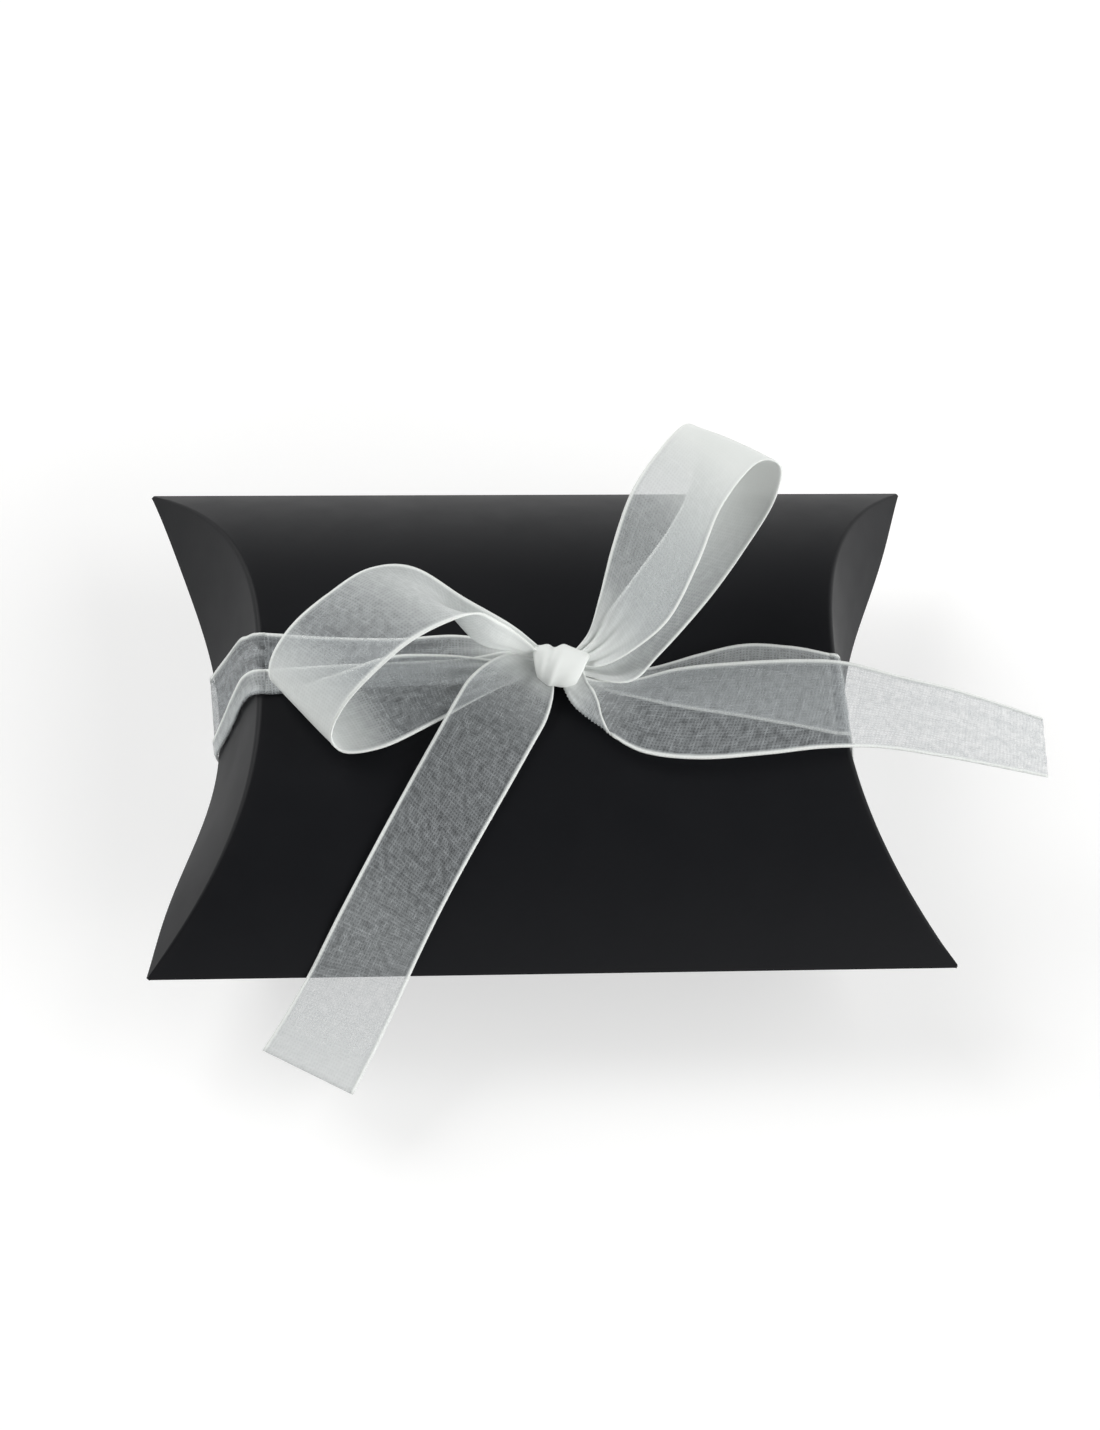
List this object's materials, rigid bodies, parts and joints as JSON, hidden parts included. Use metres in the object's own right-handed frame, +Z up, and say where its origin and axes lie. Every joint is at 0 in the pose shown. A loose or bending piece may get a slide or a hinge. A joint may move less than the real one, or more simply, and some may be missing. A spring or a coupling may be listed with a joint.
{
  "type": "pillow box",
  "caption": "Small card pillow box with curved panels and hollow ends closed by folded flaps, tied lengthwise with a sheer ribbon in a bow.",
  "frame": {"origin": "on the surface the box lies on, under the middle of the ribbon run below the back panel", "axes": "+X along the box to the right end in the picture, +Y across it to the far side fold, +Z up through the front panel"},
  "size_m": [0.0998, 0.0785, 0.0443],
  "materials": {
    "card": "matt black folding card",
    "ribbon": "sheer white organza with firm selvedges"
  },
  "bodies": {
    "box": {"front_panel": "card", "back_panel": "card", "glue_tab": "card", "front_run_left": "ribbon", "front_run_right": "ribbon", "back_run": "ribbon", "knot": "ribbon", "left_loop": "ribbon", "right_loop": "ribbon", "left_tail": "ribbon", "right_tail": "ribbon"},
    "left_outer_flap": {"left_outer_flap": "card", "left_end_run": "ribbon"},
    "left_inner_flap": {"left_inner_flap": "card"},
    "right_outer_flap": {"right_outer_flap": "card", "right_end_run": "ribbon"},
    "right_inner_flap": {"right_inner_flap": "card"}
  },
  "joints": [
    {"name": "left_outer_fold", "type": "hinge", "parent": "box", "child": "left_outer_flap", "pos_m": [-0.0322, 0, 0.0255], "axis": [0, 1, 0], "range_deg": [0, 50]},
    {"name": "left_inner_fold", "type": "hinge", "parent": "box", "child": "left_inner_flap", "pos_m": [-0.0322, 0, 0.0005], "axis": [0, -1, 0], "range_deg": [0, 25]},
    {"name": "right_outer_fold", "type": "hinge", "parent": "box", "child": "right_outer_flap", "pos_m": [0.0322, 0, 0.0255], "axis": [0, -1, 0], "range_deg": [0, 50]},
    {"name": "right_inner_fold", "type": "hinge", "parent": "box", "child": "right_inner_flap", "pos_m": [0.0322, 0, 0.0005], "axis": [0, 1, 0], "range_deg": [0, 25]}
  ],
  "couplings": [
    {"joint": "left_inner_fold", "follows": "left_outer_fold", "ratio": 0.5},
    {"joint": "right_inner_fold", "follows": "right_outer_fold", "ratio": 0.5}
  ]
}
